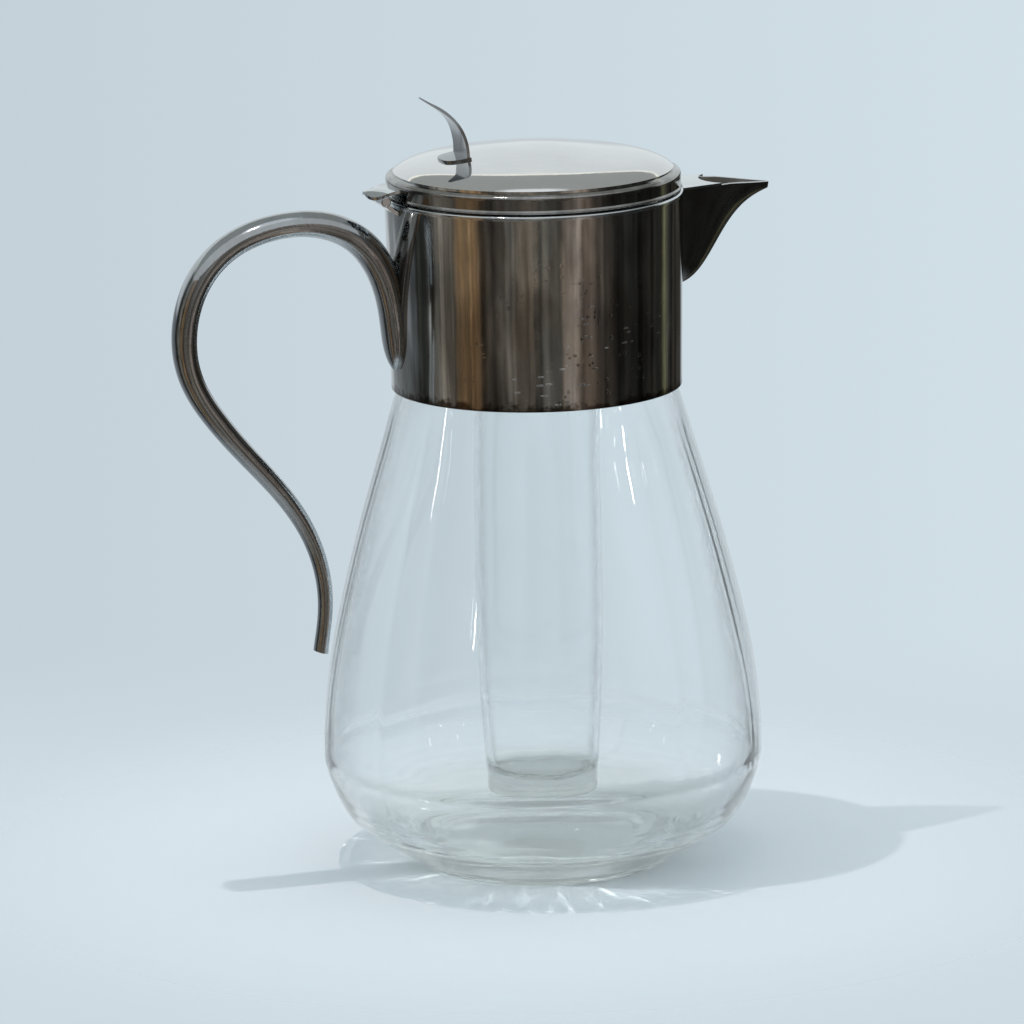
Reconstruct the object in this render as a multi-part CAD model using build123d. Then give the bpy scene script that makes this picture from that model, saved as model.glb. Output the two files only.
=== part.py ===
from build123d import *
import os

# Lidded glass jug with a plated collar, beak spout, loop handle and a hanging ice tube.
# Millimetres. Origin: centre of the circle that the foot stands on. +Z up, spout towards +X,
# handle and hinge towards -X.

# ---- glass jug ----
FOOT_R = 46.0
FOOT_RING_INNER_R = 39.0
FOOT_RECESS_R = 35.0
FOOT_RECESS_Z = 3.0
FOOT_EDGE = (47.0, 2.2)
BELLY_R = 80.8
BELLY_Z = 48.0
GLASS_WALL = 2.6
FLOOR_R = 42.0
FLOOR_Z = 9.0
NECK_R = 49.0
NECK_START_Z = 183.2
NECK_TOP_Z = 206.0
SHOULDER = (50.9, 177.2)

# Outside and inside of the glass between the foot and the shoulder, as (radius, height).
GLASS_OUTSIDE = [
    FOOT_EDGE, (57.0, 7.4), (71.6, 18.0), (79.8, 35.0), (BELLY_R, BELLY_Z), (77.3, 80.0),
    (68.0, 120.0), (56.4, 160.0), SHOULDER,
]
GLASS_INSIDE = [
    (NECK_R - GLASS_WALL, NECK_START_Z), (53.6, 160.0), (65.3, 120.0), (74.6, 80.0),
    (BELLY_R - GLASS_WALL, BELLY_Z), (76.6, 34.0), (67.0, 18.6), (52.0, FLOOR_Z + 1.0),
    (FLOOR_R, FLOOR_Z),
]

# ---- ice tube ----
TUBE_BOTTOM_Z = 23.4
TUBE_FOOT_R = 19.2
TUBE_LOW_R = 21.9
TUBE_LOW_Z = 68.0
TUBE_TOP_R = 23.1
TUBE_TOP_FROM_Z = 110.0
TUBE_WALL = 2.0
TUBE_BASE = 8.5
TUBE_CORNER = 3.6
FLARE_HEIGHT = 8.0
FLARE_WIDTH = 9.0
FLANGE_R = 46.5
FLANGE_THICK = 2.2

# ---- collar ----
COLLAR_BOTTOM_Z = 177.2
COLLAR_TOP_Z = 246.6
COLLAR_BOTTOM_R = 52.9
COLLAR_TOP_R = 54.0
COLLAR_WALL = 1.0
RIM_TOP_Z = 248.3
RIM_INNER_R = 52.4
RIM_OUTER_R = 54.4
LEDGE_Z = 240.0
LEDGE_THICK = 1.0
LEDGE_INNER_R = 44.5
LEDGE_FLANGE = 3.0
BED_BOTTOM_Z = 183.5
BED_TOP_Z = 204.5
WINDOW_TOP_Z = 237.5
WINDOW_BOTTOM_Z = 215.5
WINDOW_TOP_HALF = 10.5
WINDOW_BOTTOM_HALF = 3.0

# ---- spout ----
SPOUT_TOP_Z = 247.0
SPOUT_TIP_X = 90.3
SPOUT_WALL = 0.9
SPOUT_ROOT_X = 50.0
SPOUT_ROOT_HALF = 15.6
BRIDGE_THICK = 0.8
BRIDGE_SIDE_X = 68.6
BRIDGE_SIDE_Y = 10.3
BRIDGE_MIDDLE_X = 64.0

# Stations along the spout: x, half width at the top edge, keel height, top edge height.
SPOUT_STATIONS = [
    (SPOUT_ROOT_X, SPOUT_ROOT_HALF, 209.4, SPOUT_TOP_Z + 0.5),
    (57.3, 13.9, 210.6, SPOUT_TOP_Z + 0.5),
    (63.0, 12.2, 214.9, SPOUT_TOP_Z + 0.5),
    (70.0, 9.8, 225.0, SPOUT_TOP_Z + 0.2),
    (77.0, 7.1, 234.7, SPOUT_TOP_Z - 0.4),
    (84.0, 4.1, 240.3, SPOUT_TOP_Z - 1.1),
    (SPOUT_TIP_X - 0.4, 1.4, 242.9, SPOUT_TOP_Z - 1.6),
]

# ---- lid ----
SKIRT_R = 53.5
SKIRT_BOTTOM_Z = 248.9
BEAD = 0.45
SHOULDER_Z = 255.6
STEP_Z = 256.7
COVER_R = 50.8
DOME_TOP_Z = 265.1
LID_WALL = 1.0
BEZEL_R = 51.2
BEZEL_WALL = 0.8
BEZEL_BOTTOM_Z = 243.2

# ---- hinge ----
HINGE_X = -58.2
HINGE_Z = 249.5
PIN_R = 0.9
PIN_CLEARANCE = 0.05
PIN_HEAD_R = 1.7
PIN_HEAD = 0.5
BARREL_R = 1.9
HINGE_HALF_WIDTH = 8.3
LID_KNUCKLE_HALF = 3.0
KNUCKLE_GAP = 0.35
TAB_TOP_Z = 253.1
TAB_THICK = 1.1

# ---- handle ----
HANDLE_OUTER_DEPTH = 5.4
HANDLE_INNER_DEPTH = 3.7
HANDLE_HALF_WIDTH = 6.6
HANDLE_LEDGE = 0.9
HANDLE_WALL = 0.9

# Centre line from the root on the collar, over the top, to the free tail, as (x, z).
HANDLE_LINE = [
    (-52.8, 187.0), (-53.8, 204.0), (-56.8, 219.0), (-62.8, 231.0), (-71.8, 238.4), (-82.5, 241.8),
    (-94.0, 242.4), (-108.0, 239.2), (-122.0, 230.0), (-131.0, 213.0), (-131.3, 193.0),
    (-120.0, 171.3), (-100.0, 147.3), (-86.5, 125.5), (-82.2, 104.0), (-84.3, 84.5),
]

# Shares of the handle's length: rounded root, swollen bend, taper towards the tail.
ROOT_ROUND = 0.03
BODY_FROM = 0.08
SECTION_COUNT = 14
SWELL = 0.20
SWELL_AT = 0.16
SWELL_REACH = 0.14
TAPER_FROM = 0.42
TAPER_TO = 0.93
TAIL_SCALE = 0.58

# ---- thumbpiece ----
LEAF_HALF_WIDTH = 8.2
LEAF_THICK = 1.1
LEAF_X = -26.4
LEAF_BASE_Z = 259.1
LEAF_TIP_X = -42.2
LEAF_TIP_Z = 285.2
LEAF_FOOT_THICK = 0.8

PARTS = "parts"


def save(node, shape):
    """Write one sub-part to its own STEP file."""
    export_step(shape, os.path.join(PARTS, node + ".step"))


def turned(*edges):
    """Solid of revolution about Z from edges of a closed outline in the XZ plane."""
    outline = Wire(edges)
    return revolve(make_face(outline), Axis.Z)


def ring(inner_r, outer_r, low_z, high_z):
    """Plain ring with its axis on Z."""
    tube = Cylinder(outer_r, high_z - low_z) - Cylinder(inner_r, high_z - low_z)
    return Pos(0, 0, (low_z + high_z) / 2) * tube


def chain(*points):
    """Straight edges through the given (x, z) points, in the XZ plane."""
    corners = [Vector(x, 0, z) for x, z in points]
    return [Edge.make_line(a, b) for a, b in zip(corners, corners[1:])]


def curve(*points, tangents=None):
    """One smooth edge through the given (x, z) points, in the XZ plane."""
    knots = [Vector(x, 0, z) for x, z in points]
    if tangents:
        directions = [Vector(x, 0, z) for x, z in tangents]
        return Edge.make_spline(knots, tangents=directions)
    return Edge.make_spline(knots)


# ---------------------------------------------------------------- glass

def glass_body():
    """Pear-shaped jug: low foot ring, wide belly, tapering sides and a straight neck."""
    inner_r = NECK_R - GLASS_WALL
    lip_z = NECK_TOP_Z - 1.0
    recess = (FOOT_RECESS_R, FOOT_RECESS_Z)
    ring_inner = (FOOT_RING_INNER_R, 0.0)
    ring_outer = (FOOT_R, 0.0)
    edges = chain((0, FOOT_RECESS_Z), recess)
    edges += [curve(recess, ring_inner, tangents=[(1, 0), (1, -0.6)])]
    edges += chain(ring_inner, ring_outer)
    edges += [curve(ring_outer, FOOT_EDGE, tangents=[(0.8, 0.3), (0.1, 1.0)])]
    edges += [curve(*GLASS_OUTSIDE, tangents=[(1.0, 0.25), (-0.22, 1.0)])]
    edges += chain(SHOULDER, (NECK_R, NECK_START_Z), (NECK_R, lip_z))
    edges += [curve((NECK_R, lip_z), (NECK_R - GLASS_WALL / 2, NECK_TOP_Z), (inner_r, lip_z),
                    tangents=[(0, 1), (0, -1)])]
    edges += chain((inner_r, lip_z), (inner_r, NECK_START_Z))
    edges += [curve(*GLASS_INSIDE, tangents=[(0.1, -1.0), (-1.0, 0.0)])]
    edges += chain((FLOOR_R, FLOOR_Z), (0, FLOOR_Z), (0, FOOT_RECESS_Z))
    return turned(*edges)


def ice_tube():
    """Long tapered tube with a thick bottom and a flared flange that sits on the ledge."""
    flare_z = LEDGE_Z - FLARE_HEIGHT
    top_z = LEDGE_Z + FLANGE_THICK
    flare_r = TUBE_TOP_R + FLARE_WIDTH
    floor_z = TUBE_BOTTOM_Z + TUBE_BASE
    corner_z = TUBE_BOTTOM_Z + TUBE_CORNER
    inner_corner_z = floor_z + TUBE_CORNER
    foot_r, low_r, top_r = TUBE_FOOT_R, TUBE_LOW_R, TUBE_TOP_R
    inner_foot_r, inner_low_r, inner_top_r = foot_r - TUBE_WALL, low_r - TUBE_WALL, top_r - TUBE_WALL
    outside = curve(
        (foot_r, corner_z), (low_r, TUBE_LOW_Z), (top_r, TUBE_TOP_FROM_Z), (top_r, flare_z),
        tangents=[(0.06, 1.0), (0.0, 1.0)],
    )
    inside = curve(
        (inner_top_r, flare_z), (inner_top_r, TUBE_TOP_FROM_Z), (inner_low_r, TUBE_LOW_Z),
        (inner_foot_r, inner_corner_z),
        tangents=[(0.0, -1.0), (-0.06, -1.0)],
    )
    edges = chain((0, floor_z), (0, TUBE_BOTTOM_Z), (foot_r - TUBE_CORNER, TUBE_BOTTOM_Z))
    edges += [curve((foot_r - TUBE_CORNER, TUBE_BOTTOM_Z), (foot_r, corner_z),
                    tangents=[(1, 0), (0.06, 1)])]
    edges += [outside]
    edges += [curve((top_r, flare_z), (flare_r, LEDGE_Z), tangents=[(0, 1), (1, 0)])]
    edges += chain((flare_r, LEDGE_Z), (FLANGE_R, LEDGE_Z), (FLANGE_R, top_z), (flare_r - 1, top_z))
    edges += [curve((flare_r - 1, top_z), (inner_top_r, flare_z), tangents=[(-1, 0), (0, -1)])]
    edges += [inside]
    edges += [curve((inner_foot_r, inner_corner_z), (inner_foot_r - TUBE_CORNER, floor_z),
                    tangents=[(-0.06, -1), (-1, 0)])]
    edges += chain((inner_foot_r - TUBE_CORNER, floor_z), (0, floor_z))
    return turned(*edges)


# ---------------------------------------------------------------- collar

def collar_outer_r(z):
    """Outside radius of the slightly flared band at a height."""
    share = (z - COLLAR_BOTTOM_Z) / (COLLAR_TOP_Z - COLLAR_BOTTOM_Z)
    return COLLAR_BOTTOM_R + share * (COLLAR_TOP_R - COLLAR_BOTTOM_R)


def collar_plug(low_z, high_z, extra=0.0):
    """Solid cone that fills the collar's outside, used to cope parts onto it."""
    low_r = collar_outer_r(low_z) + extra
    high_r = collar_outer_r(high_z) + extra
    return turned(*chain((0, low_z), (low_r, low_z), (high_r, high_z), (0, high_z), (0, low_z)))


def collar_bore(low_z, high_z):
    """Solid cone that fills the collar's inside."""
    return collar_plug(low_z, high_z, -COLLAR_WALL)


def pouring_window():
    """Tapered prism through the band behind the spout."""
    outline = Polyline(
        (-WINDOW_TOP_HALF, WINDOW_TOP_Z), (WINDOW_TOP_HALF, WINDOW_TOP_Z),
        (WINDOW_BOTTOM_HALF, WINDOW_BOTTOM_Z), (-WINDOW_BOTTOM_HALF, WINDOW_BOTTOM_Z), close=True)
    face = Plane.YZ * make_face(outline)
    return extrude(face, amount=COLLAR_TOP_R + 10)


def collar_band():
    """Tall band, open at both ends, with the pouring window."""
    band = collar_plug(COLLAR_BOTTOM_Z, COLLAR_TOP_Z)
    band -= collar_bore(COLLAR_BOTTOM_Z - 1, COLLAR_TOP_Z + 1)
    return band - pouring_window()


def collar_rim():
    """Rolled rim: rounded above, flat where it sits on the band."""
    middle = (RIM_INNER_R + RIM_OUTER_R) / 2
    side_z = COLLAR_TOP_Z + 0.3
    inner, outer = (RIM_INNER_R, side_z), (RIM_OUTER_R, side_z)
    top = curve(outer, (middle, RIM_TOP_Z), inner, tangents=[(0, 1), (0, -1)])
    return turned(*chain(inner, (RIM_INNER_R, COLLAR_TOP_Z), (RIM_OUTER_R, COLLAR_TOP_Z), outer), top)


def seat_ring():
    """Ledge inside the band with a turned-down flange against the wall."""
    flange_low = LEDGE_Z - LEDGE_FLANGE
    pocket_r = collar_outer_r(flange_low) - COLLAR_WALL - LEDGE_THICK
    blank = ring(LEDGE_INNER_R, COLLAR_TOP_R + 2, flange_low, LEDGE_Z)
    pocket = ring(LEDGE_INNER_R - 1, pocket_r, flange_low - 1, LEDGE_Z - LEDGE_THICK)
    return (blank & collar_bore(flange_low - 1, LEDGE_Z + 1)) - pocket


def plaster_bed():
    """Filling between the glass neck and the band."""
    blank = ring(NECK_R, COLLAR_TOP_R, BED_BOTTOM_Z, BED_TOP_Z)
    return blank & collar_bore(BED_BOTTOM_Z - 1, BED_TOP_Z + 1)


# ---------------------------------------------------------------- spout

def spout_section(x, half_width, keel_z, top_z):
    """Closed V-shaped section with a rounded keel, in a plane across the spout."""
    rise = top_z - keel_z
    side = Edge.make_spline(
        [
            Vector(x, -half_width, top_z),
            Vector(x, -half_width * 0.60, keel_z + rise * 0.46),
            Vector(x, 0, keel_z),
            Vector(x, half_width * 0.60, keel_z + rise * 0.46),
            Vector(x, half_width, top_z),
        ]
    )
    lid = Edge.make_line(Vector(x, half_width, top_z), Vector(x, -half_width, top_z))
    return Face(Wire([side, lid]))


def spout_solid(inset):
    """Filled spout, or its hollow when inset is the wall's thickness."""
    faces = []
    for x, half_width, keel_z, top_z in SPOUT_STATIONS:
        narrow = max(half_width - inset * 1.1, 0.25)
        lift = 2 * inset
        low_z = min(keel_z + inset * 1.2, top_z - 0.2)
        faces.append(spout_section(x - inset, narrow, low_z, top_z + lift))
    return loft(faces)


def spout_shell():
    """Folded beak, open along its top, coped to the collar."""
    shell = spout_solid(0) - spout_solid(SPOUT_WALL)
    above = Pos(60, 0, SPOUT_TOP_Z + 5) * Box(70, 50, 10)
    return shell - above - spout_clearance()


def spout_clearance():
    """Collar and rim as one solid that the spout is coped to."""
    rim = Pos(0, 0, (COLLAR_TOP_Z + RIM_TOP_Z) / 2) * Cylinder(RIM_OUTER_R, RIM_TOP_Z - COLLAR_TOP_Z)
    return collar_plug(COLLAR_BOTTOM_Z, COLLAR_TOP_Z) + rim


def spout_bridge():
    """Flat plate over the spout next to the collar, with a concave front edge."""
    root_x, root_y = SPOUT_ROOT_X, SPOUT_ROOT_HALF
    side_x, side_y = BRIDGE_SIDE_X, BRIDGE_SIDE_Y
    z = SPOUT_TOP_Z
    back = Edge.make_line(Vector(root_x, root_y, z), Vector(root_x, -root_y, z))
    right = Edge.make_line(Vector(root_x, -root_y, z), Vector(side_x, -side_y, z))
    front = Edge.make_three_point_arc(
        Vector(side_x, -side_y, z), Vector(BRIDGE_MIDDLE_X, 0, z), Vector(side_x, side_y, z)
    )
    left = Edge.make_line(Vector(side_x, side_y, z), Vector(root_x, root_y, z))
    plate = extrude(Face(Wire([back, right, front, left])), amount=BRIDGE_THICK, dir=(0, 0, 1))
    return plate - spout_clearance()


# ---------------------------------------------------------------- handle

def handle_scale(share):
    """Scale of the handle's section at a share of its length."""
    bend = min(max((share - TAPER_FROM) / (TAPER_TO - TAPER_FROM), 0.0), 1.0)
    size = 1.0 - (1.0 - TAIL_SCALE) * bend * bend * (3 - 2 * bend) ** 0.5
    off_swell = min(abs(share - SWELL_AT) / SWELL_REACH, 1.0)
    size += SWELL * (1.0 - off_swell * off_swell) ** 2
    if share < ROOT_ROUND:
        gone = 1.0 - share / ROOT_ROUND
        size *= max(1.0 - gone * gone, 0.2) ** 0.5
    return size


def handle_section(path, share, side, inset):
    """Half section of the handle: side -1 is the deep outer half, 1 the shallow inner half."""
    scale = handle_scale(share)
    plane = Plane(origin=path.position_at(share), x_dir=(0, 1, 0), z_dir=path.tangent_at(share))
    seam = 0.5 * (HANDLE_OUTER_DEPTH - HANDLE_INNER_DEPTH) * scale
    if side < 0:
        half = HANDLE_HALF_WIDTH * scale - inset
        depth = -(HANDLE_OUTER_DEPTH * scale - inset)
    else:
        half = (HANDLE_HALF_WIDTH - HANDLE_LEDGE) * scale - inset
        depth = HANDLE_INNER_DEPTH * scale - inset
    start = seam - side * 2 * inset
    points = [
        (-half, start),
        (-half * 0.93, seam + depth * 0.45),
        (0, seam + depth),
        (half * 0.93, seam + depth * 0.45),
        (half, start),
    ]
    bow = Edge.make_spline([plane.from_local_coords(Vector(u, v, 0)) for u, v in points])
    flat = Edge.make_line(plane.from_local_coords(Vector(half, start, 0)),
                          plane.from_local_coords(Vector(-half, start, 0)))
    return Face(Wire([bow, flat]))


def handle_half(side):
    """Hollow stamped half of the handle, closed at both ends."""
    path = curve(*HANDLE_LINE)
    root = [0.0, 0.3 * ROOT_ROUND, ROOT_ROUND]
    rest = [BODY_FROM + (1 - BODY_FROM) * i / SECTION_COUNT for i in range(SECTION_COUNT + 1)]
    solid = loft([handle_section(path, share, side, 0) for share in root + rest])
    hollow = loft([handle_section(path, share, side, HANDLE_WALL) for share in rest[1:-1]])
    return (solid - hollow) - collar_plug(COLLAR_BOTTOM_Z, COLLAR_TOP_Z)


# ---------------------------------------------------------------- lid

def dome_top(lift=0.0):
    """Arc of the dome's outside, from the step to the crown."""
    return curve((COVER_R, STEP_Z + lift), (COVER_R * 0.72, STEP_Z + 4.6 + lift),
                 (COVER_R * 0.38, DOME_TOP_Z - 1.3 + lift), (0, DOME_TOP_Z + lift),
                 tangents=[(-0.9, 0.75), (-1, 0)])


def lid_cover():
    """Low dome with a short upright step at its edge."""
    inner_r = COVER_R - LID_WALL - 0.3
    inner_step = (inner_r, STEP_Z - 0.6)
    crown = (0, DOME_TOP_Z - LID_WALL)
    inside = curve(crown, (COVER_R * 0.38, DOME_TOP_Z - 1.3 - LID_WALL),
                   (COVER_R * 0.72, STEP_Z + 4.5 - LID_WALL), inner_step,
                   tangents=[(1, 0), (0.9, -0.75)])
    edges = [dome_top()] + chain((0, DOME_TOP_Z), crown) + [inside]
    edges += chain(inner_step, (inner_r, SHOULDER_Z), (COVER_R, SHOULDER_Z), (COVER_R, STEP_Z))
    return turned(*edges)


def lid_rim():
    """Stepped ring: bead and skirt outside, narrow shoulder above."""
    inner_r = COVER_R - 3.0
    under_z = SHOULDER_Z - LID_WALL
    shoulder = (SKIRT_R - 1.6, SHOULDER_Z)
    corner = (SKIRT_R - 1.2, SHOULDER_Z - 0.2)
    side_top = (SKIRT_R, SHOULDER_Z - 2.0)
    bead_top = (SKIRT_R, SKIRT_BOTTOM_Z + 1.3)
    bead_low = (SKIRT_R, SKIRT_BOTTOM_Z)
    edges = chain((inner_r, under_z), (inner_r, SHOULDER_Z), shoulder, corner)
    edges += [curve(corner, (SKIRT_R - 0.2, SHOULDER_Z - 0.9), side_top, tangents=[(1, -0.2), (0, -1)])]
    edges += chain(side_top, bead_top)
    edges += [curve(bead_top, (SKIRT_R + BEAD, SKIRT_BOTTOM_Z + 0.6), bead_low,
                    tangents=[(0.4, -1), (-0.6, -1)])]
    edges += chain(bead_low, (SKIRT_R - LID_WALL, SKIRT_BOTTOM_Z), (SKIRT_R - LID_WALL, under_z),
                   (inner_r, under_z))
    return turned(*edges)


def lid_bezel():
    """Sleeve that locates the lid inside the collar."""
    return ring(BEZEL_R - BEZEL_WALL, BEZEL_R, BEZEL_BOTTOM_Z, SHOULDER_Z - LID_WALL)


def leaf_outline():
    """Leaf shape seen from the spout side: full at the base, pointed at the tip."""
    half = LEAF_HALF_WIDTH
    low_z = LEAF_BASE_Z
    tip_z = LEAF_TIP_Z + 0.4
    points = [(half, low_z), (half, 264.0), (half * 0.92, 270.0), (half * 0.70, 276.0),
              (half * 0.38, 281.4), (0.5, tip_z)]
    right = Edge.make_spline([Vector(0, y, z) for y, z in points])
    left = Edge.make_spline([Vector(0, -y, z) for y, z in reversed(points)])
    tip = Edge.make_line(Vector(0, 0.5, tip_z), Vector(0, -0.5, tip_z))
    base = Edge.make_line(Vector(0, -half, low_z), Vector(0, half, low_z))
    return Face(Wire([right, tip, left, base]))


def thumbpiece():
    """Thin leaf that rises from the dome and curls back towards the hinge."""
    front_foot, back_foot = (LEAF_X, LEAF_BASE_Z), (LEAF_X - LEAF_THICK, LEAF_BASE_Z)
    front_tip, back_tip = (LEAF_TIP_X, LEAF_TIP_Z), (LEAF_TIP_X - 0.3, LEAF_TIP_Z - 0.4)
    front = curve(front_foot, (LEAF_X - 0.2, 267.4), (LEAF_X - 3.0, 275.3), (LEAF_X - 8.6, 281.0),
                  front_tip, tangents=[(0, 1), (-0.75, 0.5)])
    back = curve(back_tip, (LEAF_X - 9.1, 280.0), (LEAF_X - 4.0, 274.9),
                 (LEAF_X - LEAF_THICK - 0.2, 267.4), back_foot, tangents=[(0.75, -0.55), (0, -1)])
    ends = chain(front_tip, back_tip) + chain(back_foot, front_foot)
    strip = make_face(Wire([front, back] + ends))
    solid = extrude(strip, amount=LEAF_HALF_WIDTH + 2, both=True)
    mask = extrude(leaf_outline(), amount=60, dir=(-1, 0, 0))
    return (solid & mask) - lid_blank(LEAF_FOOT_THICK)


def lid_blank(lift):
    """Solid below the dome's outside, raised by lift."""
    sides = chain((0, DOME_TOP_Z + lift), (0, LEDGE_Z), (COVER_R, LEDGE_Z), (COVER_R, STEP_Z + lift))
    return turned(dome_top(lift), *sides)


def thumbpiece_foot():
    """Base plate of the thumbpiece, curved to lie on the dome."""
    half = LEAF_HALF_WIDTH + 0.4
    front_x = LEAF_X + 0.5
    low_z = DOME_TOP_Z - 20.0
    bow = Edge.make_spline(
        [Vector(front_x, -half, low_z), Vector(LEAF_X - 8.8, 0, low_z), Vector(front_x, half, low_z)],
        tangents=[Vector(-0.9, 0.0, 0), Vector(0.9, 0.0, 0)],
    )
    close = Edge.make_line(Vector(front_x, half, low_z), Vector(front_x, -half, low_z))
    prism = extrude(Face(Wire([bow, close])), amount=40, dir=(0, 0, 1))
    return (prism & lid_blank(LEAF_FOOT_THICK)) - lid_blank(0)


# ---------------------------------------------------------------- hinge

def along_y(radius, low_y, high_y, x=HINGE_X, z=HINGE_Z):
    """Cylinder parallel to the hinge axis."""
    return Pos(x, (low_y + high_y) / 2, z) * Rot(90, 0, 0) * Cylinder(radius, high_y - low_y)


def knuckle(low_y, high_y):
    """Short hinge tube with a running bore."""
    return along_y(BARREL_R, low_y, high_y) - along_y(PIN_R + PIN_CLEARANCE, low_y - 1, high_y + 1)


def hinge_pin():
    """Pin with a flat rounded head against each end of the barrel."""
    end = HINGE_HALF_WIDTH + PIN_HEAD
    heads = along_y(PIN_HEAD_R, -end, end)
    heads = fillet(heads.edges().filter_by(GeomType.CIRCLE), 0.3)
    heads -= along_y(PIN_HEAD_R + 1, -HINGE_HALF_WIDTH, HINGE_HALF_WIDTH)
    return heads + along_y(PIN_R, -HINGE_HALF_WIDTH - 0.1, HINGE_HALF_WIDTH + 0.1)


def collar_knuckles():
    """Two outer hinge tubes, either side of the lid's tube."""
    gap = LID_KNUCKLE_HALF + KNUCKLE_GAP
    return Compound([knuckle(-HINGE_HALF_WIDTH, -gap), knuckle(gap, HINGE_HALF_WIDTH)])


def hinge_bracket():
    """Plate from the collar up to the underside of the hinge barrel."""
    upper_end = (HINGE_X + 1.2, HINGE_Z - 1.2)
    lower_end = (HINGE_X - 0.2, HINGE_Z - BARREL_R + 0.05)
    upper = chain(upper_end, (-55.0, 246.4), (-50.0, 243.4), (-50.0, 242.0))
    lower = chain((-50.0, 242.0), (-55.0, 244.8), lower_end, upper_end)
    plate = extrude(make_face(Wire(upper + lower)), amount=HINGE_HALF_WIDTH - 0.2, both=True)
    gap = LID_KNUCKLE_HALF + KNUCKLE_GAP
    plate -= collar_plug(COLLAR_BOTTOM_Z, COLLAR_TOP_Z)
    plate -= along_y(BARREL_R, -HINGE_HALF_WIDTH - 1, HINGE_HALF_WIDTH + 1)
    return plate - along_y(BARREL_R + KNUCKLE_GAP, -gap, gap)


def tab_section(x, half_width, crown_z, edge_z):
    """Bent strip across the tab: high in the middle, lower at its two edges."""
    top = Edge.make_spline(
        [Vector(x, -half_width, edge_z), Vector(x, 0, crown_z), Vector(x, half_width, edge_z)]
    )
    low_edge, low_crown = edge_z - TAB_THICK, crown_z - TAB_THICK
    under = Edge.make_spline(
        [Vector(x, half_width, low_edge), Vector(x, 0, low_crown), Vector(x, -half_width, low_edge)]
    )
    right = Edge.make_line(Vector(x, half_width, edge_z), Vector(x, half_width, low_edge))
    left = Edge.make_line(Vector(x, -half_width, low_edge), Vector(x, -half_width, edge_z))
    return Face(Wire([top, right, under, left]))


def hinge_tab():
    """Leaf on the lid's rim: flat at the rim, rounded and turned down at its nose."""
    half = HINGE_HALF_WIDTH + 0.2
    z = TAB_TOP_Z
    leaf = loft([
        tab_section(-50.0, half + 0.3, z, z - 0.05),
        tab_section(-56.5, half + 0.1, z, z - 0.25),
        tab_section(-60.4, half * 0.90, z - 0.1, z - 1.5),
        tab_section(-63.9, half * 0.20, z - 0.7, z - 1.0),
    ])
    inside_skirt = Pos(0, 0, 250) * Cylinder(SKIRT_R, 30)
    barrel_room = along_y(BARREL_R + KNUCKLE_GAP, -half - 2, half + 2)
    return leaf - inside_skirt - lid_rim() - barrel_room


def lid_knuckle():
    """Middle hinge tube with a web up to the tab."""
    half = LID_KNUCKLE_HALF
    web_top = TAB_TOP_Z - 0.3
    web = Pos(HINGE_X + 0.2, 0, (HINGE_Z + web_top) / 2) * Box(1.8, 2 * half, web_top - HINGE_Z)
    solid = web + along_y(BARREL_R, -half, half) - hinge_tab()
    return solid - along_y(PIN_R + PIN_CLEARANCE, -half - 1, half + 1)


def main():
    os.makedirs("parts", exist_ok=True)
    makers = [
        glass_body, ice_tube, plaster_bed, collar_band, collar_rim, seat_ring, spout_shell,
        spout_bridge, hinge_bracket, collar_knuckles, hinge_pin, lid_cover, lid_rim, lid_bezel,
        thumbpiece, thumbpiece_foot, hinge_tab, lid_knuckle,
    ]
    for maker in makers:
        save(maker.__name__, maker())
    outer_half = handle_half(-1)
    save("handle_outer_shell", outer_half)
    save("handle_inner_shell", handle_half(1) - outer_half)


main()
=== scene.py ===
import math

import bpy
import numpy as np
from mathutils import Matrix, Vector


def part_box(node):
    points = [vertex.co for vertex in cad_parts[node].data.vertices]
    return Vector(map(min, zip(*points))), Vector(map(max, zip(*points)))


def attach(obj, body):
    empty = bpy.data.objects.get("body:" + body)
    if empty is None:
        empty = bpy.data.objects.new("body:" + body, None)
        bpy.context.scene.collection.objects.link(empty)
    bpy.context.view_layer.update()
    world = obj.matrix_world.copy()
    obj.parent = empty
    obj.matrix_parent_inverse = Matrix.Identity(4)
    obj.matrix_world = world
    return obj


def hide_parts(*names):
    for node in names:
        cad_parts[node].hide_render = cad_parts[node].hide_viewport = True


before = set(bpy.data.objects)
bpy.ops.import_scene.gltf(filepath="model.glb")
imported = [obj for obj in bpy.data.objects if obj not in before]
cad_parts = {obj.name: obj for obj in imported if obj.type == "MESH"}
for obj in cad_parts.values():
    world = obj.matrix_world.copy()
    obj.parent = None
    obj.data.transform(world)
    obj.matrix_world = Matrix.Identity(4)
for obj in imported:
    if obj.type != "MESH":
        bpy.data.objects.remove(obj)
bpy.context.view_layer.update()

# Lidded glass jug with a silver-plated mount. Metres, in the row frame: +Z up, spout +X, handle -X.

# ---- camera: a long lens from the left front, a little above ----
CAMERA_AZIMUTH = math.radians(-18.0)
CAMERA_DISTANCE = 2.6
CAMERA_HEIGHT = 0.7073
CAMERA_ROLL = math.radians(1.07)
AIM_RIGHT = -0.0099
AIM_HEIGHT = 0.1293
LENS_MM = 256.4
SENSOR_MM = 36.0
FAR_CLIP = 50.0
# Light crosses many glass walls before it leaves the jug.
MOST_BOUNCES = 24
MIRROR_BOUNCES = 12

# ---- stage ----
FLOOR_RADIUS = 0.34
FLOOR_FADE_FROM = 0.09
FLOOR_FADE_TO = 0.27
FLOOR_DROP = 0.0003
FLOOR_COLOUR = (0.86, 0.89, 0.905)
FAR_FLOOR = (0.61, 0.70, 0.76)
PALE_BLUE = (0.585, 0.675, 0.735)

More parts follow.
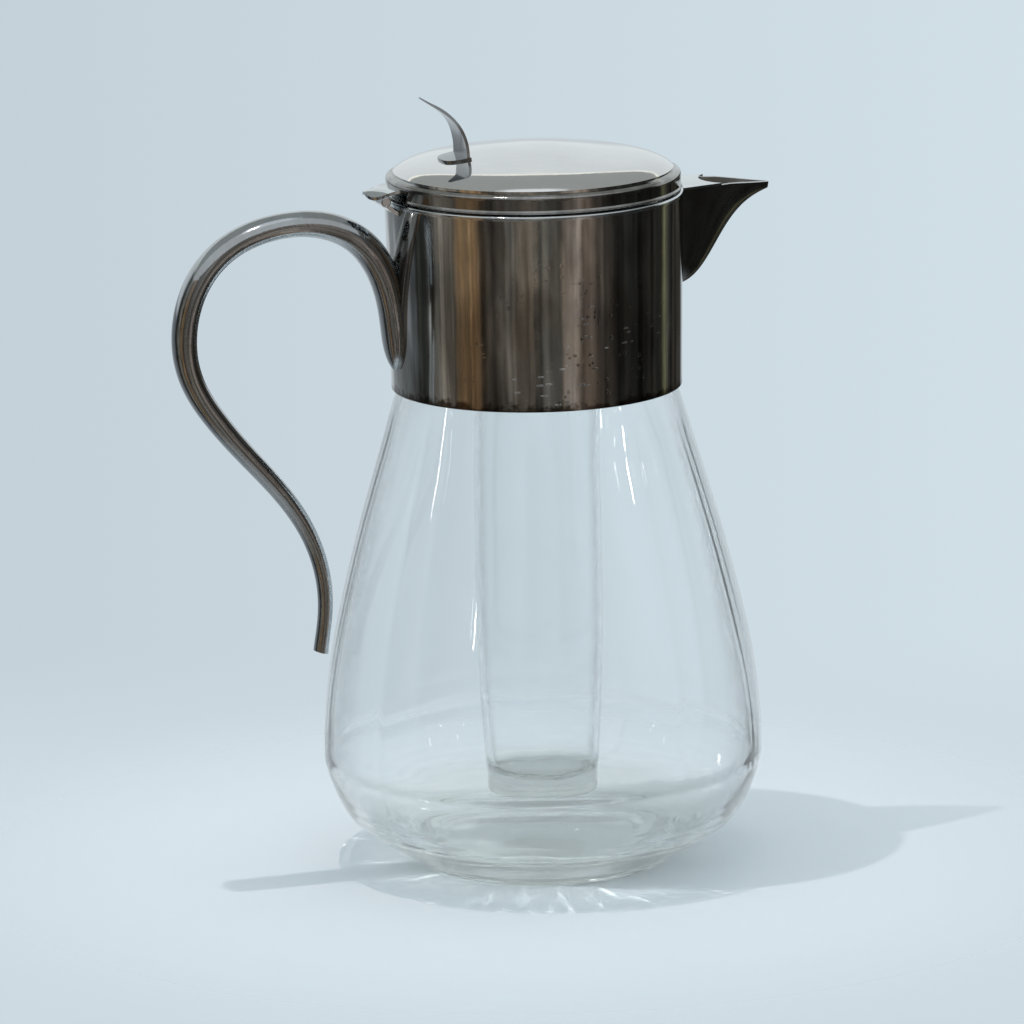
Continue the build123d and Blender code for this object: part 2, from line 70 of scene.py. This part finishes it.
# ---- lamps ----
KEY_PLACE = (-0.19, 0.0, 1.0)
KEY_SIZE = 0.012
KEY_POWER = 2.0
OVERHEAD_PLACE = (0.05, 0.10, 1.7)
OVERHEAD_SIZE = 0.9
OVERHEAD_POWER = 2.4
STRIP_AIM = (0.0, 0.0, 0.12)
# Name, place, width, height and power of the narrow windows that the glass shows.
STRIPS = [
    ("window left", (-1.42, 0.18, 0.56), 0.014, 0.24, 0.35),
    ("window near left", (-1.15, -0.86, 0.40), 0.012, 0.10, 0.16),
    ("window right", (0.85, -1.22, 0.74), 0.018, 0.09, 0.28),
    ("window far right", (1.20, -0.90, 0.55), 0.030, 0.08, 0.35),
    ("window back", (0.55, 1.20, 0.75), 0.030, 0.16, 0.50),
    ("window back left", (-0.75, 1.10, 0.50), 0.26, 0.03, 0.60),
]

# ---- what the silver mirrors ----
BACKDROP = (0.60, 0.66, 0.70)
PALE_BEYOND = (0.80, 0.86, 0.88)
CEILING_BEYOND = (0.36, 0.385, 0.38)
CEILING_NEAR = (0.62, 0.65, 0.66)
CEILING_EDGE = (1.2, 1.2, 1.1)
OVERHEAD = (0.86, 0.90, 0.94)
# Heights, as the z of a direction of length 1, between which one thing passes into the next.
HORIZON = (-0.232, -0.252)
CEILING_EDGE_FROM = (0.462, 0.478)
CEILING_EDGE_TO = (0.500, 0.486)
CEILING_FROM = (0.478, 0.490)
OVERHEAD_FROM = (0.955, 0.985)
# The room round the horizon, as shares of a turn, from behind the jug (+Y) by way of the handle's side,
# the viewer's side and the spout's side.
ROOM = [
    (0.000, BACKDROP), (0.030, (0.38, 0.42, 0.45)), (0.085, (0.25, 0.28, 0.30)), (0.130, (0.19, 0.21, 0.23)),
    (0.150, (0.025, 0.028, 0.026)), (0.185, (0.02, 0.021, 0.02)), (0.205, (0.10, 0.095, 0.085)),
    (0.240, (0.15, 0.14, 0.125)), (0.262, (0.03, 0.029, 0.026)), (0.292, (0.17, 0.115, 0.065)),
    (0.325, (0.13, 0.09, 0.055)), (0.350, (0.04, 0.037, 0.033)), (0.395, (0.075, 0.07, 0.064)),
    (0.450, (0.13, 0.12, 0.105)), (0.500, (0.05, 0.047, 0.042)), (0.555, (0.19, 0.16, 0.14)),
    (0.590, (0.05, 0.047, 0.044)), (0.630, (0.014, 0.014, 0.013)), (0.765, (0.012, 0.012, 0.011)),
    (0.785, (0.10, 0.098, 0.06)), (0.805, (0.03, 0.03, 0.028)), (0.895, (0.03, 0.03, 0.028)),
    (0.915, BACKDROP),
]

# ---- silver ----
SILVER = (0.74, 0.735, 0.725)
COOL_SILVER = (0.68, 0.715, 0.745)
# Warm tint of the painted reflections on the plate.
PAINTED_WARM_REFLECTION = (0.80, 0.705, 0.60)
TARNISH = (0.40, 0.37, 0.31)
EDGE_STAIN = (0.10, 0.085, 0.07)
PIT_COLOUR = (0.10, 0.09, 0.08)
WORN_PLACE = (-0.002, -0.052, 0.185)
WORN_REACH = 0.052
WORN_CORE = 0.020
FEWEST_PITS = 0.06

# ---- glass ----
RIBS = 8
GLASS_IOR = 1.5
GLASS_TINT = (0.985, 0.992, 0.992)
JUG_BASE_TINT = (0.975, 0.972, 0.935)
TUBE_BASE_TINT = (0.985, 0.985, 0.975)
HAZE = (0.95, 0.955, 0.915)
CLEAR_RIM = (0.97, 0.97, 0.965)
WHITE = (1.0, 1.0, 1.0)
LOW_SHADE = (0.66, 0.67, 0.68)
STREAK = (2.5, 2.5, 2.45)
RIB_INSIDE = 0.0014
RIB_IN_BASE = 0.0013
RIB_OUTSIDE = 0.0006
RING_PITCH = 0.0072
RING_INSIDE = 0.00026
RING_OUTSIDE = 0.00020


# ------------------------------------------------------------------ node building

class Nodes:
    """Short way to write a node tree."""

    def __init__(self, tree):
        self.tree = tree
        tree.nodes.clear()

    def add(self, kind, inputs=None, **settings):
        node = self.tree.nodes.new(kind)
        for name, value in settings.items():
            setattr(node, name, value)
        for name, value in (inputs or {}).items():
            self.put(node.inputs[name], value)
        return node

    def put(self, socket, value):
        if isinstance(value, bpy.types.NodeSocket):
            self.tree.links.new(value, socket)
        elif socket.type == "RGBA" and len(value) == 3:
            socket.default_value = (*value, 1.0)
        else:
            socket.default_value = value

    def math(self, operation, a, b=0.0):
        node = self.add("ShaderNodeMath", operation=operation)
        self.put(node.inputs[0], a)
        self.put(node.inputs[1], b)
        return node.outputs[0]

    def times(self, a, b):
        return self.math("MULTIPLY", a, b)

    def plus(self, a, b):
        return self.math("ADD", a, b)

    def step(self, value, low, high):
        """0 at low, 1 at high, smooth between; low may be the larger."""
        node = self.add("ShaderNodeMapRange", interpolation_type="SMOOTHSTEP",
                        inputs={"Value": value, "From Min": low, "From Max": high})
        return node.outputs["Result"]

    def span(self, value, low, high, to_low, to_high):
        """to_low at low, to_high at high, straight between."""
        node = self.add("ShaderNodeMapRange",
                        inputs={"Value": value, "From Min": low, "From Max": high,
                                "To Min": to_low, "To Max": to_high})
        return node.outputs["Result"]

    def mix(self, share, a, b, blend="MIX"):
        node = self.add("ShaderNodeMix", data_type="RGBA", blend_type=blend)
        self.put(node.inputs[0], share)
        self.put(node.inputs[6], a)
        self.put(node.inputs[7], b)
        return node.outputs[2]

    def scaled(self, colour, factor):
        node = self.add("ShaderNodeVectorMath", operation="SCALE", inputs={"Scale": factor})
        self.put(node.inputs[0], colour)
        return node.outputs[0]

    def ramp(self, value, stops):
        node = self.add("ShaderNodeValToRGB", inputs={"Fac": value})
        ramp = node.color_ramp
        while len(ramp.elements) < len(stops):
            ramp.elements.new(0.5)
        for element, (place, colour) in zip(ramp.elements, stops):
            element.position = place
            element.color = (*colour, 1.0)
        return node.outputs["Color"]

    def place(self, scale=(1, 1, 1)):
        """Object coordinates, stretched."""
        where = self.add("ShaderNodeTexCoord")
        mapping = self.add("ShaderNodeMapping", inputs={"Vector": where.outputs["Object"], "Scale": scale})
        return mapping.outputs["Vector"]

    def parts(self, vector):
        """The x, y and z of a vector."""
        return self.add("ShaderNodeSeparateXYZ", inputs={"Vector": vector}).outputs

    def joined(self, x, y):
        return self.add("ShaderNodeCombineXYZ", inputs={"X": x, "Y": y}).outputs[0]

    def noise(self, vector, scale, detail=3.0, roughness=0.5):
        node = self.add("ShaderNodeTexNoise", inputs={
            "Vector": vector, "Scale": scale, "Detail": detail, "Roughness": roughness})
        return node.outputs["Fac"]

    def cells(self, vector, scale):
        """Distance from the middle of the nearest cell."""
        node = self.add("ShaderNodeTexVoronoi", inputs={"Vector": vector, "Scale": scale}, feature="F1")
        return node.outputs["Distance"]

    def bump(self, height, strength, distance, normal=None):
        node = self.add("ShaderNodeBump", inputs={
            "Height": height, "Strength": strength, "Distance": distance})
        if normal:
            self.put(node.inputs["Normal"], normal)
        return node.outputs["Normal"]

    def facing(self, blend):
        """0 where a surface faces the ray, 1 where it is seen edge-on."""
        return self.add("ShaderNodeLayerWeight", inputs={"Blend": blend}).outputs["Facing"]

    def either(self, share, a, b):
        """Two shaders mixed."""
        return self.add("ShaderNodeMixShader", inputs={0: share, 1: a, 2: b}).outputs[0]

    def surface(self, shader):
        self.add("ShaderNodeOutputMaterial", inputs={"Surface": shader})


def new_material(name):
    material = bpy.data.materials.new(name)
    material.use_nodes = True
    return material, Nodes(material.node_tree)


def dimmed(colour, factor):
    return tuple(factor * c for c in colour)


# ------------------------------------------------------------------ silver

def tarnish_film(n, here, most):
    """How much warm tarnish lies on the plate."""
    patches = n.noise(here, 38.0, 4.0, 0.6)
    cloud = n.noise(here, 11.0, 2.0, 0.5)
    return n.times(n.step(n.plus(patches, n.times(cloud, 0.5)), 0.55, 1.05), most)


def plate_colour(n, film, streaks, painted_shade_scale, metal):
    """Upright patches that start and stop along the height, broad ones and fine ones, some of them warm:
    painted reflections of the room's upright bands, put into the plate's colour.
    """
    broad = n.step(n.noise(n.place((1.0, 1.0, 0.32)), 66.0, 2.0, 0.5), 0.40, 0.60)
    fine = n.step(n.noise(n.place((1.0, 1.0, 0.10)), 380.0, 2.0, 0.5), 0.36, 0.64)
    # Painted reflection: upright dim streaks in the plate's colour.
    painted_reflection_streaks = n.times(n.span(broad, 0.0, 1.0, 1.0 - streaks, 1.0),
                    n.span(fine, 0.0, 1.0, 1.0 - 0.45 * streaks, 1.0))
    # Painted reflection: warm upright bands in the plate's colour.
    painted_warm_reflection = n.step(n.noise(n.place((1.0, 1.0, 0.35)), 52.0, 3.0, 0.6), 0.50, 0.66)
    # The dimming factor darkens the metal, the warm tint and the tarnish alike: painted shade.
    base = n.mix(n.times(painted_warm_reflection, 0.9 * streaks), dimmed(metal, painted_shade_scale), dimmed(PAINTED_WARM_REFLECTION, painted_shade_scale))
    return n.mix(film, n.scaled(base, painted_reflection_streaks), dimmed(TARNISH, painted_shade_scale))


def stained_edge(n, here, colour, edge_z):
    """A dark ragged line along a lower edge."""
    ragged = n.plus(n.parts(here)["Z"], n.span(n.noise(here, 240.0, 4.0, 0.7), 0.3, 0.7, -0.0022, 0.0022))
    return n.mix(n.step(ragged, edge_z + 0.0034, edge_z + 0.0006), colour, EDGE_STAIN)


def plate_roughness(n, here, film, scratches, roughness):
    smear = n.noise(here, 70.0, 3.0, 0.55)
    rough = n.plus(n.span(smear, 0.35, 0.75, roughness * 0.6, roughness * 1.5), n.times(film, 0.12))
    return n.plus(rough, n.span(scratches, 0.62, 0.80, 0.0, 0.07))


def pits_and_nicks(n, here, worn):
    """1 in a round pit or in a short level nick; on a worn piece they lie on the front."""
    where_pits = n.step(n.noise(here, 48.0, 2.0), 0.58 - 0.08 * worn, 0.64 - 0.08 * worn)
    where_nicks = n.step(n.noise(here, 33.0, 3.0), 0.52, 0.58)
    if worn:
        away = n.add("ShaderNodeVectorMath", operation="DISTANCE")
        n.put(away.inputs[0], here)
        n.put(away.inputs[1], WORN_PLACE)
        front = n.step(away.outputs["Value"], WORN_REACH, WORN_CORE)
        where_pits = n.times(where_pits, front)
        where_nicks = n.times(where_nicks, front)
    pit = n.times(n.step(n.cells(here, 300.0), 0.22, 0.12), n.times(where_pits, max(worn, FEWEST_PITS)))
    nick = n.times(n.step(n.cells(n.place((0.45, 0.45, 2.6)), 260.0), 0.20, 0.10), n.times(where_nicks, worn))
    return n.math("MAXIMUM", pit, nick)


def silver(name, tarnish, roughness, dent, streaks=0.12, worn=0.0, edge_z=None, painted_shade_scale=1.0, metal=SILVER):
    """Polished silver plate with painted reflections as dim upright patches, painted shade as a darker copy,
    tarnish, hairline scratches, pits and gentle dents.
    """
    material, n = new_material(name)
    here = n.place()
    film = tarnish_film(n, here, tarnish)
    colour = plate_colour(n, film, streaks, painted_shade_scale, metal)
    if edge_z:
        colour = stained_edge(n, here, colour, edge_z)
    scratches = n.noise(n.place((1.0, 1.0, 14.0)), 420.0, 2.0, 0.7)
    marks = pits_and_nicks(n, here, worn)
    dents = n.bump(n.noise(here, 34.0, 2.0, 0.5), dent, 0.0012)
    hairlines = n.bump(scratches, 0.05, 0.00008, dents)
    shader = n.add("ShaderNodeBsdfPrincipled", inputs={
        "Base Color": n.mix(n.times(marks, 0.55), colour, PIT_COLOUR),
        "Metallic": 1.0,
        "Roughness": plate_roughness(n, here, film, scratches, roughness),
        "Normal": n.bump(n.times(marks, -1.0), 0.35 + 0.25 * worn, 0.00020, hairlines)})
    n.surface(shader.outputs[0])
    return material


# ------------------------------------------------------------------ glass, plaster and paper

def glass_body(n, z, tint, base_tint, base_height, wave, haze):
    """What the eye sees: clear, a little wavy and smeared, slightly tinted and cloudy in the thick bottom."""
    here = n.place()
    ripple = n.bump(n.noise(n.place((1.0, 1.0, 0.35)), 30.0, 2.0, 0.45), wave, 0.0008)
    smears = n.noise(here, 160.0, 4.0, 0.65)
    colour = n.mix(n.step(n.noise(here, 14.0), 0.35, 0.70), tint, dimmed(tint, 0.985))
    colour = n.mix(n.step(z, base_height * 1.6, base_height * 0.5), colour, base_tint)
    glass = n.add("ShaderNodeBsdfPrincipled", inputs={
        "Base Color": colour, "Roughness": n.span(smears, 0.62, 0.85, 0.02, 0.06), "Normal": ripple,
        "Transmission Weight": 1.0, "IOR": GLASS_IOR})
    cloudy = n.add("ShaderNodeBsdfDiffuse", inputs={"Color": HAZE})
    thick = n.step(z, base_height * 1.15, base_height * 0.85)
    body = n.either(n.times(thick, haze), glass.outputs[0], cloudy.outputs[0])
    # The thin rim of the outline lets the background through.
    rim = n.add("ShaderNodeBsdfTransparent", inputs={"Color": CLEAR_RIM})
    thin = n.times(n.step(n.facing(0.5), 0.42, 0.86), n.span(z, 0.012, 0.050, 0.34, 0.62))
    return n.either(thin, body, rim.outputs[0])


def glass_shadow(n, x, y, z, edge_shade):
    """What a lamp sees: less light through an edge-on wall, and fine streaks that fan out round the foot."""
    shade = n.ramp(n.facing(0.35), [(0.0, (0.84, 0.86, 0.87)), (0.60, (0.76, 0.79, 0.81)),
                                    (1.0, (edge_shade, edge_shade, edge_shade))])
    low = n.mix(n.step(z, 0.056, 0.046), WHITE, LOW_SHADE)
    shade = n.mix(1.0, shade, low, "MULTIPLY")
    fan = n.joined(n.times(n.math("ARCTAN2", x, y), 20.0), n.times(z, 40.0))
    streaks = n.times(n.step(n.noise(fan, 1.0, 2.0, 0.6), 0.59, 0.64), n.step(z, 0.052, 0.040))
    passing = n.add("ShaderNodeBsdfTransparent", inputs={"Color": n.mix(streaks, shade, STREAK)})
    return passing.outputs[0]


def clear_glass(name, tint, base_tint, base_height, edge_shade, wave, haze):
    material, n = new_material(name)
    x, y, z = n.parts(n.place())
    body = glass_body(n, z, tint, base_tint, base_height, wave, haze)
    passing = glass_shadow(n, x, y, z, edge_shade)
    ray = n.add("ShaderNodeLightPath")
    n.surface(n.either(ray.outputs["Is Shadow Ray"], body, passing))
    return material


def plaster(name):
    material, n = new_material(name)
    here = n.place()
    grain = n.noise(here, 900.0, 5.0, 0.6)
    shader = n.add("ShaderNodeBsdfPrincipled", inputs={
        "Base Color": n.mix(n.noise(here, 120.0), (0.72, 0.69, 0.62), (0.58, 0.55, 0.48)),
        "Roughness": n.span(grain, 0.3, 0.7, 0.75, 0.95),
        "Normal": n.bump(grain, 0.4, 0.0003)})
    n.surface(shader.outputs[0])
    return material


def floor_paper(name):
    """Pale paper that thins out to nothing at its rim."""
    material, n = new_material(name)
    here = n.add("ShaderNodeTexCoord").outputs["Object"]
    out = n.add("ShaderNodeVectorMath", operation="LENGTH")
    n.put(out.inputs[0], here)
    tone = n.mix(n.noise(here, 9.0), FLOOR_COLOUR, dimmed(FLOOR_COLOUR, 0.985))
    paper = n.add("ShaderNodeBsdfPrincipled", inputs={"Base Color": tone, "Roughness": 0.7})
    gone = n.add("ShaderNodeBsdfTransparent")
    share = n.step(out.outputs["Value"], FLOOR_FADE_FROM, FLOOR_FADE_TO)
    n.surface(n.either(share, paper.outputs[0], gone.outputs[0]))
    return material


# ------------------------------------------------------------------ surroundings

def banded_room(n, where, x, y, z):
    """The room at eye level: uneven upright bands of light and dark, broken up a little with height."""
    warp = n.span(n.noise(where, 7.0, 2.0), 0.3, 0.7, -0.012, 0.012)
    turn = n.math("DIVIDE", n.math("ARCTAN2", x, n.times(y, -1.0)), 2 * math.pi)
    turn = n.plus(n.plus(turn, 0.5), warp)
    room = n.ramp(turn, ROOM)
    upright = n.joined(n.times(turn, 80.0), n.times(z, 2.6))
    tint = n.mix(n.step(n.noise(upright, 0.45, 1.0), 0.42, 0.60), (0.97, 1.00, 1.01), (1.05, 0.99, 0.92))
    bands = n.span(n.noise(upright, 1.0, 4.0, 0.8), 0.38, 0.68, 0.38, 3.6)
    banded = n.scaled(n.mix(1.0, room, tint, "MULTIPLY"), bands)
    in_room = n.times(n.step(turn, 0.140, 0.160), n.step(turn, 0.905, 0.890))
    return n.mix(in_room, room, banded)


def mirrored(n, where, x, y, z):
    """What mirror reflections show: the room, and above it a ceiling.

    Beyond the jug the room is pale, and a bright edge runs under a greyer ceiling.
    """
    beyond = n.math("SUBTRACT", n.times(y, math.cos(CAMERA_AZIMUTH)), n.times(x, math.sin(CAMERA_AZIMUTH)))
    room = banded_room(n, where, x, y, z)
    room = n.mix(n.times(n.step(beyond, 0.25, 0.55), n.step(z, -0.02, 0.08)), room, PALE_BEYOND)
    room = n.mix(n.times(n.step(z, 0.10, 0.45), 0.12), room, BACKDROP)
    ceiling = n.mix(n.step(beyond, -0.05, 0.08), CEILING_NEAR, CEILING_BEYOND)
    ceiling = n.mix(n.step(z, *OVERHEAD_FROM), ceiling, OVERHEAD)
    seen = n.mix(n.step(z, *CEILING_FROM), room, ceiling)
    edge = n.times(n.step(z, *CEILING_EDGE_FROM), n.step(z, *CEILING_EDGE_TO))
    line = n.times(edge, n.step(beyond, 0.2, 0.5))
    return n.mix(line, seen, CEILING_EDGE)


def plain_surroundings(n, x, y, z):
    """Pale blue wall, a little brighter to the right, and the far floor below it."""
    across = n.plus(n.times(x, math.cos(CAMERA_AZIMUTH)), n.times(y, math.sin(CAMERA_AZIMUTH)))
    wall = n.scaled(PALE_BLUE, n.span(across, -0.07, 0.07, 0.95, 1.09))
    return n.mix(n.step(z, *HORIZON), wall, FAR_FLOOR)


def studio_world():
    """Plain surroundings; a mirror reflection that hasn't passed through glass sees the room instead."""
    world = bpy.data.worlds.new("studio")
    bpy.context.scene.world = world
    world.use_nodes = True
    n = Nodes(world.node_tree)
    where = n.add("ShaderNodeTexCoord").outputs["Generated"]
    x, y, z = n.parts(where)
    ray = n.add("ShaderNodeLightPath").outputs
    outside = n.math("LESS_THAN", ray["Transmission Depth"], 0.5)
    colour = n.mix(n.times(ray["Is Glossy Ray"], outside), plain_surroundings(n, x, y, z),
                   mirrored(n, where, x, y, z))
    back = n.add("ShaderNodeBackground", inputs={"Color": colour, "Strength": 1.0})
    n.add("ShaderNodeOutputWorld", inputs={"Surface": back.outputs[0]})


def lamp(name, place, aim, power, width, height=None, colour=(1, 1, 1)):
    data = bpy.data.lights.new(name, "AREA")
    data.shape = "ELLIPSE" if height else "DISK"
    data.size = width
    data.size_y = height or width
    data.energy = power
    data.color = colour
    obj = bpy.data.objects.new(name, data)
    bpy.context.scene.collection.objects.link(obj)
    obj.location = place
    obj.rotation_euler = (Vector(aim) - Vector(place)).to_track_quat("-Z", "Y").to_euler()
    return obj


def stage():
    bpy.ops.mesh.primitive_circle_add(vertices=128, radius=FLOOR_RADIUS, fill_type="NGON",
                                      location=(0, 0, -FLOOR_DROP))
    floor = bpy.context.object
    floor.name = "floor"
    floor.data.materials.append(floor_paper("floor paper"))
    # A small lamp a metre up on the handle's side throws a crisp shadow towards the spout.
    lamp("key", KEY_PLACE, (0, 0, 0), KEY_POWER, KEY_SIZE, colour=(1.0, 0.99, 0.97))
    overhead = lamp("overhead", OVERHEAD_PLACE, (0, 0, 0.1), OVERHEAD_POWER, OVERHEAD_SIZE)
    overhead.visible_glossy = False


def sparkle(*pieces):
    """Narrow windows that only the glass shows, as small bright strips."""
    glass = bpy.data.collections.new("glass pieces")
    for piece in pieces:
        glass.objects.link(piece)
    for name, place, width, height, power in STRIPS:
        strip = lamp(name, place, STRIP_AIM, power, width, height)
        strip.light_linking.receiver_collection = glass


def camera():
    cosine, sine = math.cos(CAMERA_AZIMUTH), math.sin(CAMERA_AZIMUTH)
    place = Vector((CAMERA_DISTANCE * sine, -CAMERA_DISTANCE * cosine, CAMERA_HEIGHT))
    aim = Vector((AIM_RIGHT * cosine, AIM_RIGHT * sine, AIM_HEIGHT))
    ahead = (aim - place).normalized()
    right = ahead.cross(Vector((0, 0, 1))).normalized()
    up = right.cross(ahead)
    roll = Matrix.Rotation(CAMERA_ROLL, 3, ahead)
    right, up = roll @ right, roll @ up
    data = bpy.data.cameras.new("camera")
    data.lens = LENS_MM
    data.sensor_width = SENSOR_MM
    data.clip_end = FAR_CLIP
    obj = bpy.data.objects.new("camera", data)
    bpy.context.scene.collection.objects.link(obj)
    obj.matrix_world = Matrix((
        (right.x, up.x, -ahead.x, place.x), (right.y, up.y, -ahead.y, place.y),
        (right.z, up.z, -ahead.z, place.z), (0, 0, 0, 1)))
    bpy.context.scene.camera = obj


# ------------------------------------------------------------------ meshes

def clamped(value):
    return min(max(value, 0.0), 1.0)


def smooth_line(points, per_span):
    """Catmull-Rom curve through (radius, height) points."""
    p = np.array(points, float)
    p = np.vstack([2 * p[0] - p[1], p, 2 * p[-1] - p[-2]])
    out = []
    for i in range(1, len(p) - 2):
        for k in range(per_span):
            t = k / per_span
            a = 2 * p[i]
            b = (p[i + 1] - p[i - 1]) * t
            c = (2 * p[i - 1] - 5 * p[i] + 4 * p[i + 1] - p[i + 2]) * t * t
            d = (3 * p[i] - p[i - 1] - 3 * p[i + 1] + p[i + 2]) * t ** 3
            out.append(tuple(0.5 * (a + b + c + d)))
    out.append(tuple(p[-2]))
    return out


def facet(angle, soft):
    """0 on a rib and -1 halfway between two; soft rounds the rib."""
    half = math.pi / RIBS
    away = (angle + half) % (2 * half) - half
    depth = math.sqrt(away * away + soft * soft) - soft
    reach = math.sqrt(half * half + soft * soft) - soft
    return -depth / reach


def base_rings(r, z, angle, height):
    """Faint wavy rings round the thick base."""
    fade = clamped((0.030 - z) / 0.015)
    wave = 0.0016 * math.cos(RIBS * angle) + 0.0007 * math.sin(3 * angle + 1.0)
    return height * fade * math.sin(2 * math.pi * (r + 1.5 * z + wave) / RING_PITCH)


def ring_faces(low, high, turns):
    """Faces between two rings of vertices; a ring of one vertex is a pole."""
    faces = []
    for k in range(turns):
        j = (k + 1) % turns
        if len(low) == 1:
            faces.append((low[0], high[j], high[k]))
        elif len(high) == 1:
            faces.append((low[k], low[j], high[0]))
        else:
            faces.append((low[k], low[j], high[j], high[k]))
    return faces


def spun(name, profile, turns, relief=None):
    """Closed surface of revolution from (radius, height) points; relief changes the radius."""
    verts, faces, circles = [], [], []
    for i, (r, z) in enumerate(profile):
        start = len(verts)
        if r < 1e-7:
            verts.append((0.0, 0.0, z))
        else:
            for k in range(turns):
                angle = 2 * math.pi * k / turns
                radius = r + (relief(r, z, i, angle) if relief else 0.0)
                verts.append((radius * math.cos(angle), radius * math.sin(angle), z))
        circles.append(list(range(start, len(verts))))
    for low, high in zip(circles, circles[1:]):
        faces += ring_faces(low, high, turns)
    mesh = bpy.data.meshes.new(name)
    mesh.from_pydata(verts, [], faces)
    mesh.validate()
    for polygon in mesh.polygons:
        polygon.use_smooth = True
    obj = bpy.data.objects.new(name, mesh)
    bpy.context.scene.collection.objects.link(obj)
    return obj


def glass_jug(material):
    """Pear-shaped body, ribbed inside and faintly outside, with a thick base and a low foot ring."""
    belly, _, neck_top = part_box("glass_body")[1]
    collar_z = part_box("collar_band")[0].z
    base_top = 0.0088
    foot = [(0.0, 0.0030), (0.0340, 0.0030), (0.0365, 0.0022), (0.0385, 0.0004), (0.0400, 0.0), (0.0445, 0.0),
            (0.0460, 0.0004), (0.0468, 0.0012)]
    outside = smooth_line([
        (0.0470, 0.0022), (0.0570, 0.0074), (0.0716, 0.0180), (0.0797, 0.0350), (belly, 0.0480),
        (0.0773, 0.0800), (0.0680, 0.1200), (0.0564, 0.1600), (0.0509, collar_z)], 12)
    outside = [(min(r, belly), z) for r, z in outside]
    neck = [(0.0490, collar_z + 0.006), (0.0490, neck_top - 0.001), (0.0477, neck_top),
            (0.0464, neck_top - 0.001), (0.0464, collar_z + 0.006)]
    inside = smooth_line([
        (0.0481, collar_z - 0.002), (0.0534, 0.1600), (0.0649, 0.1200), (0.0741, 0.0800), (0.0778, 0.0500),
        (0.0762, 0.0340), (0.0668, 0.0186), (0.0530, 0.0105), (0.0430, base_top)], 12)
    floor = [(0.0300, base_top), (0.0150, base_top), (0.0, base_top)]
    first_inside = len(foot) + len(outside) + len(neck)

    def ribs(r, z, i, angle):
        below_collar = clamped((collar_z - z) / 0.02)
        if i < len(foot):
            return 0.0
        if i < first_inside:
            rise = clamped((z - 0.010) / 0.03) * below_collar
            return RIB_OUTSIDE * rise * facet(angle, 0.09) - abs(base_rings(r, z, angle, RING_OUTSIDE))
        rise = clamped((z - base_top) / 0.03)
        depth = (RIB_IN_BASE * (1 - rise) + RIB_INSIDE * rise) * min(r / 0.043, 1.0) * below_collar
        return depth * facet(angle, 0.16) + base_rings(r, z, angle, RING_INSIDE)

    obj = spun("jug_glass", foot + outside + neck + inside + floor, 256, ribs)
    obj.data.materials.append(material)
    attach(obj, "jug")
    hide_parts("glass_body")
    return obj


def glass_tube(material):
    """Ice tube: thick rounded bottom, straight sides and the flange that hangs on the ledge."""
    low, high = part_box("ice_tube")
    flange, top, bottom = high.x, high.z, low.z
    seat = top - 0.0022
    corner = [(0.0, bottom), (0.0080, bottom), (0.0152, bottom), (0.0172, bottom + 0.0004),
              (0.0187, bottom + 0.0017)]
    outside = smooth_line([
        (0.0192, bottom + 0.0036), (0.0219, 0.068), (0.0231, 0.110), (0.0231, seat - 0.008)], 10)
    flare = [(0.0236, seat - 0.005), (0.0254, seat - 0.0022), (0.0284, seat - 0.0006), (0.0321, seat),
             (flange, seat), (flange, top), (0.0311, top), (0.0272, top - 0.0008), (0.0239, top - 0.0028),
             (0.0218, top - 0.0062)]
    inside = smooth_line([
        (0.0211, seat - 0.008), (0.0211, 0.110), (0.0199, 0.068), (0.0174, bottom + 0.0135)], 10)
    floor = [(0.0166, bottom + 0.0107), (0.0148, bottom + 0.0092), (0.0120, bottom + 0.0084),
             (0.0060, bottom + 0.0080), (0.0, bottom + 0.0080)]
    obj = spun("tube_glass", corner + outside + flare + inside + floor, 160)
    obj.data.materials.append(material)
    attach(obj, "jug")
    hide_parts("ice_tube")
    return obj


# ------------------------------------------------------------------ finish of the CAD nodes

def dress(material, *nodes):
    for node in nodes:
        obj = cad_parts[node]
        obj.data.materials.clear()
        obj.data.materials.append(material)


def dress_metal():
    dress(silver("silver band", tarnish=0.45, roughness=0.05, dent=0.16, streaks=0.52, worn=1.0,
                 edge_z=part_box("collar_band")[0].z),
          "collar_band")
    dress(silver("silver lid", tarnish=0.10, roughness=0.06, dent=0.05, streaks=0.03),
          "lid_cover", "lid_bezel")
    # The skirt, thumbpiece, spout and handle get darker copies of the silver: painted shade for the dark room
    # they mirror.
    dress(silver("silver skirt", tarnish=0.40, roughness=0.07, dent=0.10, streaks=0.35, painted_shade_scale=0.55),
          "lid_rim")
    dress(silver("silver thumbpiece", tarnish=0.4, roughness=0.10, dent=0.10, painted_shade_scale=0.46, metal=COOL_SILVER),
          "thumbpiece", "thumbpiece_foot")
    dress(silver("silver spout", tarnish=0.40, roughness=0.08, dent=0.10, streaks=0.20, painted_shade_scale=0.48),
          "spout_shell")
    dress(silver("silver handle", tarnish=0.30, roughness=0.07, dent=0.08, painted_shade_scale=0.72, metal=COOL_SILVER),
          "handle_outer_shell", "handle_inner_shell")
    dress(silver("silver fittings", tarnish=0.25, roughness=0.07, dent=0.08, streaks=0.10, metal=COOL_SILVER),
          "collar_rim", "seat_ring", "spout_bridge", "hinge_bracket", "collar_knuckles", "hinge_pin",
          "hinge_tab", "lid_knuckle")


# ------------------------------------------------------------------ the scene

scene = bpy.context.scene
scene.view_settings.view_transform = "Standard"
scene.cycles.max_bounces = MOST_BOUNCES
scene.cycles.transmission_bounces = MOST_BOUNCES
scene.cycles.glossy_bounces = MIRROR_BOUNCES
studio_world()
stage()
camera()
dress_metal()
dress(plaster("plaster"), "plaster_bed")
jug = glass_jug(clear_glass("jug glass", GLASS_TINT, JUG_BASE_TINT, base_height=0.016, edge_shade=0.55,
                            wave=0.09, haze=0.17))
tube = glass_tube(clear_glass("tube glass", GLASS_TINT, TUBE_BASE_TINT, base_height=0.030, edge_shade=0.65,
                              wave=0.06, haze=0.74))
sparkle(jug, tube)
